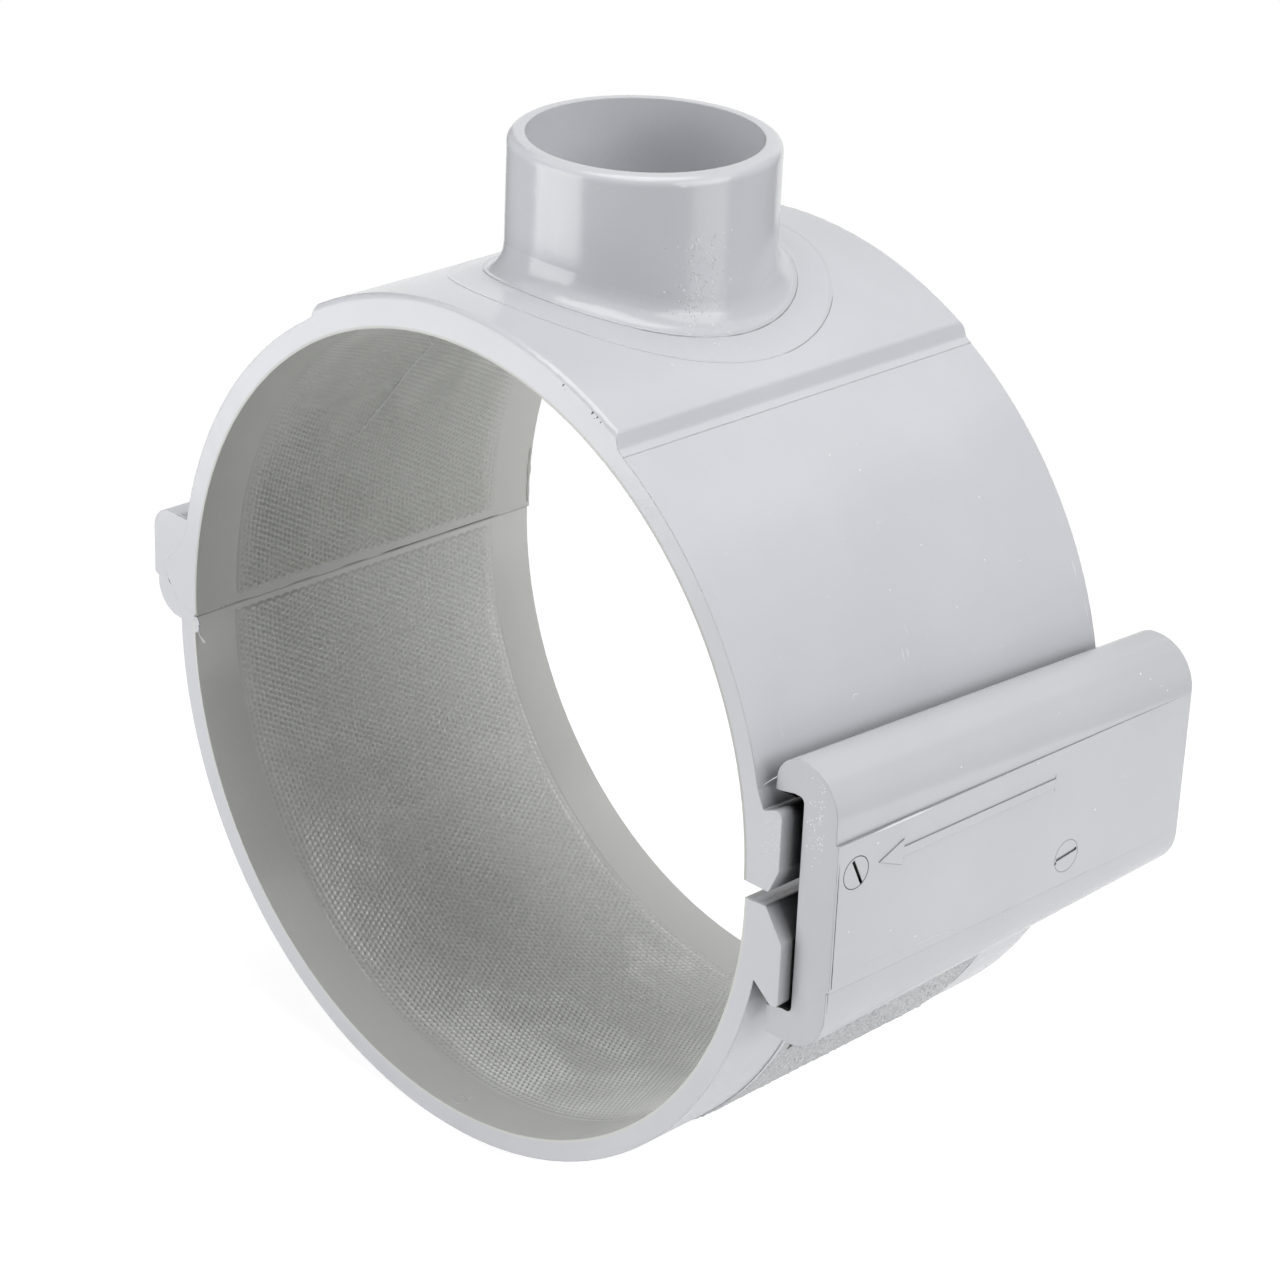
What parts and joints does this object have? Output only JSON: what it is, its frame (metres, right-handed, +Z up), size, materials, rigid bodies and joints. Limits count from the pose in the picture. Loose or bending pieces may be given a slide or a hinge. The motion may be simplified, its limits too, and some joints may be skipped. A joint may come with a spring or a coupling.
{
  "type": "pipe tapping saddle",
  "caption": "Split plastic tapping saddle: two hooked half shells drawn round a pipe by a sliding tapered wedge, with a slip socket outlet on top.",
  "frame": {"origin": "on the clamped pipe's axis, at the middle of the saddle's length", "axes": "+Y along the pipe from the wedge's wide end to its narrow end, +X towards the wedge, +Z up the outlet"},
  "size_m": [0.2046, 0.1074, 0.2119],
  "materials": {
    "pvc_grey": "moulded, semi-gloss",
    "seal_black": "smooth rubber"
  },
  "bodies": {
    "upper_half": {"upper_saddle": "pvc_grey", "o_ring_seal": "seal_black"},
    "lower_half": {"lower_saddle": "pvc_grey"},
    "wedge": {"locking_wedge": "pvc_grey"}
  },
  "joints": [
    {"name": "wedge_slide", "type": "slide", "parent": "upper_half", "child": "wedge", "axis": [0, 0.9992, -0.0401], "range_m": [-0.035, 0.1]},
    {"name": "lower_hinge", "type": "hinge", "parent": "upper_half", "child": "lower_half", "pos_m": [-0.09473, 0, 0.00395], "axis": [0, 1, 0], "range_deg": [-0.87, 2.47]}
  ],
  "couplings": [
    {"joint": "lower_hinge", "follows": "wedge_slide", "rad_per_m": 0.4306}
  ]
}
